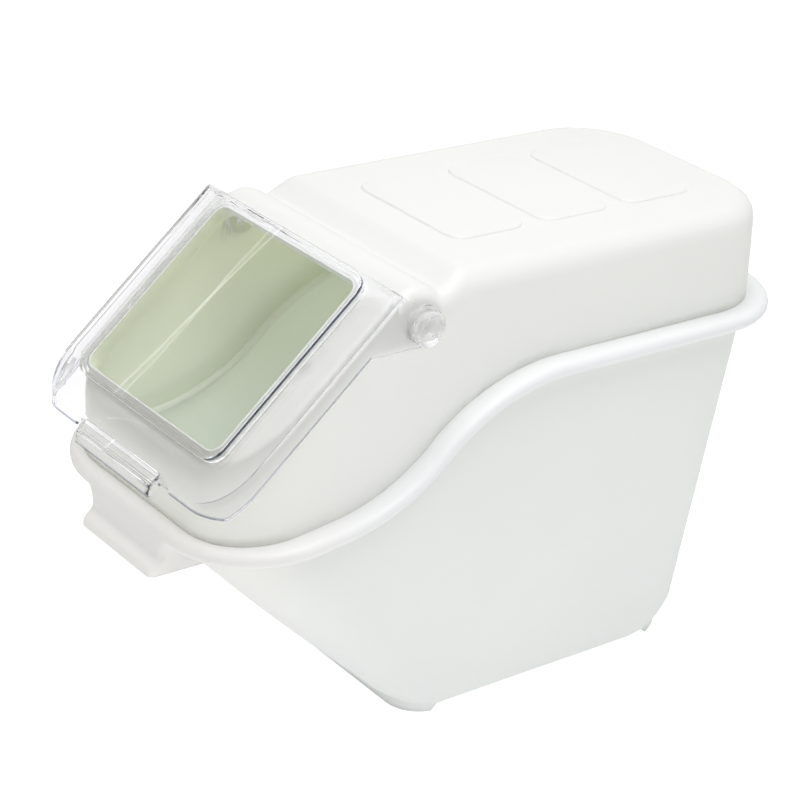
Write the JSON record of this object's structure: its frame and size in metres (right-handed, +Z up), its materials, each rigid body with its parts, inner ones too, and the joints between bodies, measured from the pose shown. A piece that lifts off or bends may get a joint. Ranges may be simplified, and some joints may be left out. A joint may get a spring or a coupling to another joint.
{
  "type": "rice bin",
  "caption": "Shelf bin for rice or flour: deep tub with a sloping front and curved rim, lift-off hood with a slanted mouth, clear flip lid on side pivots.",
  "frame": {"origin": "middle of the outline at the level of the feet", "axes": "+Z up, -Y towards the mouth, +X to the right of someone facing +Y"},
  "size_m": [0.29, 0.5956, 0.4045],
  "materials": {
    "white_plastic": "satin",
    "clear_plastic": "gloss"
  },
  "bodies": {
    "tub": {"tub": "white_plastic"},
    "hood": {"hood": "white_plastic", "pivot_pin_left": "clear_plastic", "pivot_pin_right": "clear_plastic"},
    "lid": {"lid": "clear_plastic"}
  },
  "joints": [
    {"name": "hood_lift", "type": "slide", "parent": "tub", "child": "hood", "axis": [0, 0, 1], "range_m": [0, 0.12]},
    {"name": "lid_hinge", "type": "hinge", "parent": "hood", "child": "lid", "pos_m": [0, -0.1105, 0.3711], "axis": [-1, 0, 0], "range_deg": [0, 90]}
  ]
}
